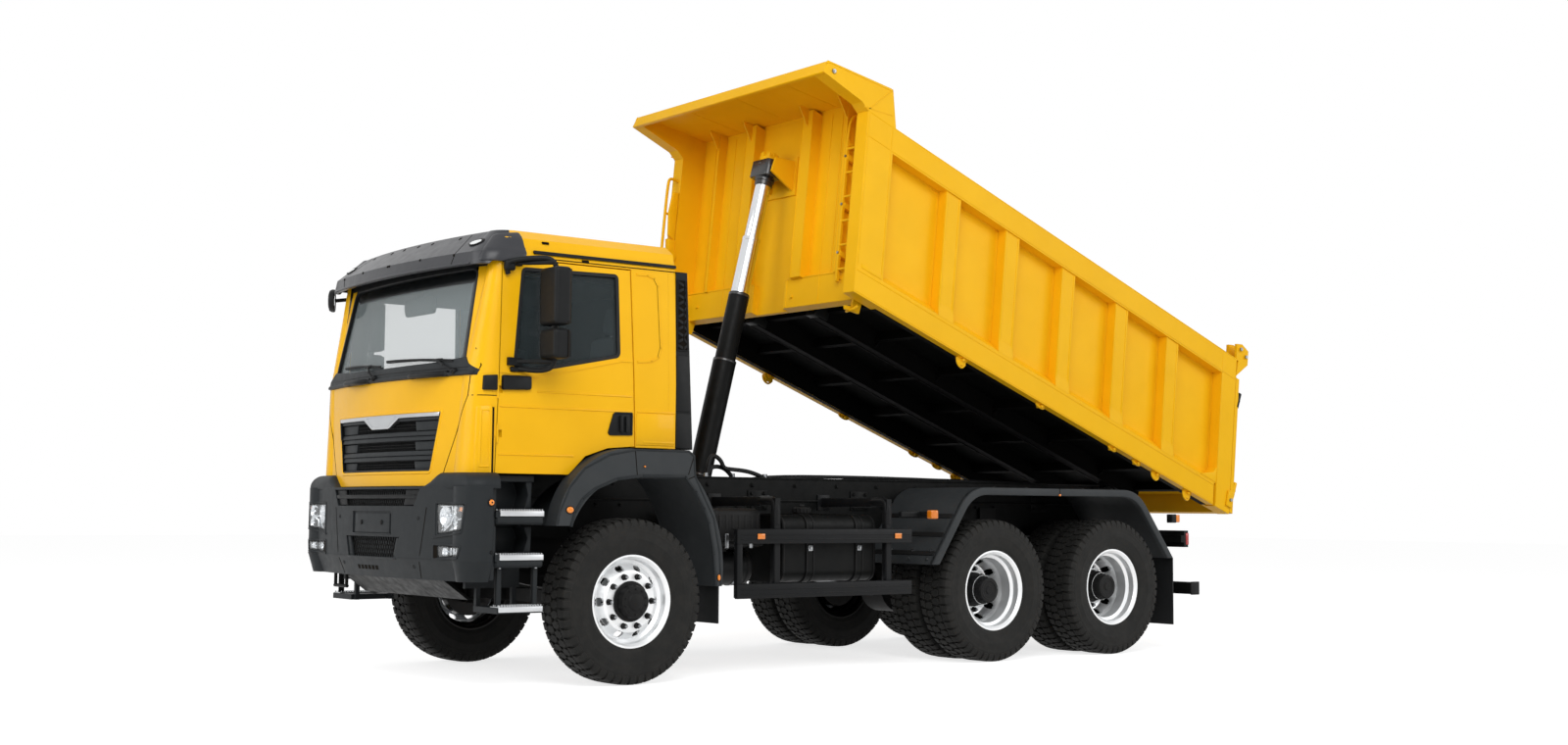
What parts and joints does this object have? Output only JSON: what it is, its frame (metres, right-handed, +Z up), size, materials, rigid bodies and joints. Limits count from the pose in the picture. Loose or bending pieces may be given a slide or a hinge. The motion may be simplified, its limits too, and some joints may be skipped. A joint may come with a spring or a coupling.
{
  "type": "dump truck",
  "caption": "Three-axle tipping lorry with a cab over its engine, a front hoist and a steel dump bed stored part raised.",
  "frame": {"origin": "on the ground under the middle of the whole lorry", "axes": "+X forward, +Y to the lorry's left, +Z up"},
  "size_m": [7.725, 2.88, 4.4031],
  "materials": {
    "cab_paint": "gloss",
    "bed_paint": "satin",
    "frame_black": "satin",
    "plastic_grey": "textured",
    "plastic_black": "textured",
    "rubber": "matte",
    "tyre": "matte",
    "rim": "brushed",
    "steel": "satin",
    "cast": "rough",
    "chrome": "polished",
    "glass": "clear",
    "lamp": "clear",
    "red_lamp": "gloss",
    "fabric": "woven"
  },
  "bodies": {
    "chassis": {"frame_rails": "frame_black", "crossmembers": "frame_black", "engine": "cast", "front_axle": "cast", "springs": "cast", "rear_axles": "cast", "propshaft": "steel", "cab_front": "cab_paint", "cab_sides": "cab_paint", "cab_rear_wall": "cab_paint", "cab_roof": "cab_paint", "cab_floor": "plastic_black", "cab_glass": "glass", "grille": "plastic_grey", "visor": "plastic_grey", "louvres": "plastic_black", "seats": "fabric", "dashboard": "plastic_grey", "front_bumper": "plastic_grey", "headlamps": "lamp", "skid_plate": "frame_black", "front_fenders": "plastic_grey", "cab_steps": "plastic_grey", "mudflaps": "rubber", "rear_fenders": "plastic_grey", "side_guards": "frame_black", "fuel_tank": "frame_black", "battery_boxes": "plastic_black", "rear_underrun": "frame_black", "tail_lamps": "red_lamp"},
    "bed": {"bed_floor": "bed_paint", "bed_sides": "bed_paint", "bed_front_wall": "bed_paint", "bed_subframe": "frame_black", "bed_canopy": "bed_paint"},
    "tailgate": {"tailgate": "bed_paint"},
    "hoist_barrel": {"hoist_barrel": "frame_black"},
    "hoist_stage_low": {"hoist_stage_low": "frame_black"},
    "hoist_stage_high": {"hoist_stage_high": "chrome"},
    "hoist_rod": {"hoist_rod": "chrome"},
    "door_left": {"door_left": "cab_paint", "door_glass_left": "glass", "mirrors_left": "plastic_black"},
    "knuckle_left": {"knuckle_left": "cast"},
    "front_wheel_left": {"front_rim_left": "rim", "front_tyre_left": "tyre"},
    "mid_wheels_left": {"mid_rims_left": "rim", "mid_tyres_left": "tyre"},
    "rear_wheels_left": {"rear_rims_left": "rim", "rear_tyres_left": "tyre"},
    "door_right": {"door_right": "cab_paint", "door_glass_right": "glass", "mirrors_right": "plastic_black"},
    "knuckle_right": {"knuckle_right": "cast"},
    "front_wheel_right": {"front_rim_right": "rim", "front_tyre_right": "tyre"},
    "mid_wheels_right": {"mid_rims_right": "rim", "mid_tyres_right": "tyre"},
    "rear_wheels_right": {"rear_rims_right": "rim", "rear_tyres_right": "tyre"}
  },
  "joints": [
    {"name": "bed_tip", "type": "hinge", "parent": "chassis", "child": "bed", "pos_m": [-2.92746, 0, 1.3], "axis": [0, -1, 0], "range_deg": [-20.5, 27.5]},
    {"name": "tailgate_swing", "type": "hinge", "parent": "bed", "child": "tailgate", "pos_m": [-3.81636, 0, 2.52102], "axis": [0, 1, 0], "range_deg": [0, 75]},
    {"name": "hoist_lean", "type": "hinge", "parent": "chassis", "child": "hoist_barrel", "pos_m": [1.28254, 0, 0.99], "axis": [0, -1, 0], "range_deg": [-11.32, 15.02]},
    {"name": "hoist_stage_low_slide", "type": "slide", "parent": "hoist_barrel", "child": "hoist_stage_low", "axis": [-0.2481, 0, 0.9687], "range_m": [-0.4926, 0.6591]},
    {"name": "hoist_stage_high_slide", "type": "slide", "parent": "hoist_stage_low", "child": "hoist_stage_high", "axis": [-0.2481, 0, 0.9687], "range_m": [-0.4679, 0.6259]},
    {"name": "hoist_rod_slide", "type": "slide", "parent": "hoist_stage_high", "child": "hoist_rod", "axis": [-0.2481, 0, 0.9687], "range_m": [-0.4679, 0.6259]},
    {"name": "door_left_swing", "type": "hinge", "parent": "chassis", "child": "door_left", "pos_m": [3.55754, 1.14, 1.8], "axis": [0, 0, -1], "range_deg": [0, 70]},
    {"name": "steer_left", "type": "hinge", "parent": "chassis", "child": "knuckle_left", "pos_m": [2.57254, 0.9, 0.545], "axis": [0, 0, 1], "range_deg": [-35, 35]},
    {"name": "front_wheel_left_spin", "type": "hinge", "parent": "knuckle_left", "child": "front_wheel_left", "pos_m": [2.57254, 1.085, 0.545], "axis": [0, 1, 0], "continuous": true},
    {"name": "mid_wheels_left_spin", "type": "hinge", "parent": "chassis", "child": "mid_wheels_left", "pos_m": [-0.75746, 1.085, 0.545], "axis": [0, 1, 0], "continuous": true},
    {"name": "rear_wheels_left_spin", "type": "hinge", "parent": "chassis", "child": "rear_wheels_left", "pos_m": [-2.10746, 1.085, 0.545], "axis": [0, 1, 0], "continuous": true},
    {"name": "door_right_swing", "type": "hinge", "parent": "chassis", "child": "door_right", "pos_m": [3.55754, -1.14, 1.8], "axis": [0, 0, 1], "range_deg": [0, 70]},
    {"name": "steer_right", "type": "hinge", "parent": "chassis", "child": "knuckle_right", "pos_m": [2.57254, -0.9, 0.545], "axis": [0, 0, 1], "range_deg": [-35, 35]},
    {"name": "front_wheel_right_spin", "type": "hinge", "parent": "knuckle_right", "child": "front_wheel_right", "pos_m": [2.57254, -1.085, 0.545], "axis": [0, 1, 0], "continuous": true},
    {"name": "mid_wheels_right_spin", "type": "hinge", "parent": "chassis", "child": "mid_wheels_right", "pos_m": [-0.75746, -1.085, 0.545], "axis": [0, 1, 0], "continuous": true},
    {"name": "rear_wheels_right_spin", "type": "hinge", "parent": "chassis", "child": "rear_wheels_right", "pos_m": [-2.10746, -1.085, 0.545], "axis": [0, 1, 0], "continuous": true}
  ],
  "couplings": [
    {"joint": "hoist_lean", "follows": "bed_tip", "ratio": 0.528},
    {"joint": "hoist_stage_low_slide", "follows": "bed_tip", "m_per_rad": 1.3627},
    {"joint": "hoist_stage_high_slide", "follows": "bed_tip", "m_per_rad": 1.2936},
    {"joint": "hoist_rod_slide", "follows": "bed_tip", "m_per_rad": 1.2936},
    {"joint": "steer_right", "follows": "steer_left", "ratio": 1}
  ]
}
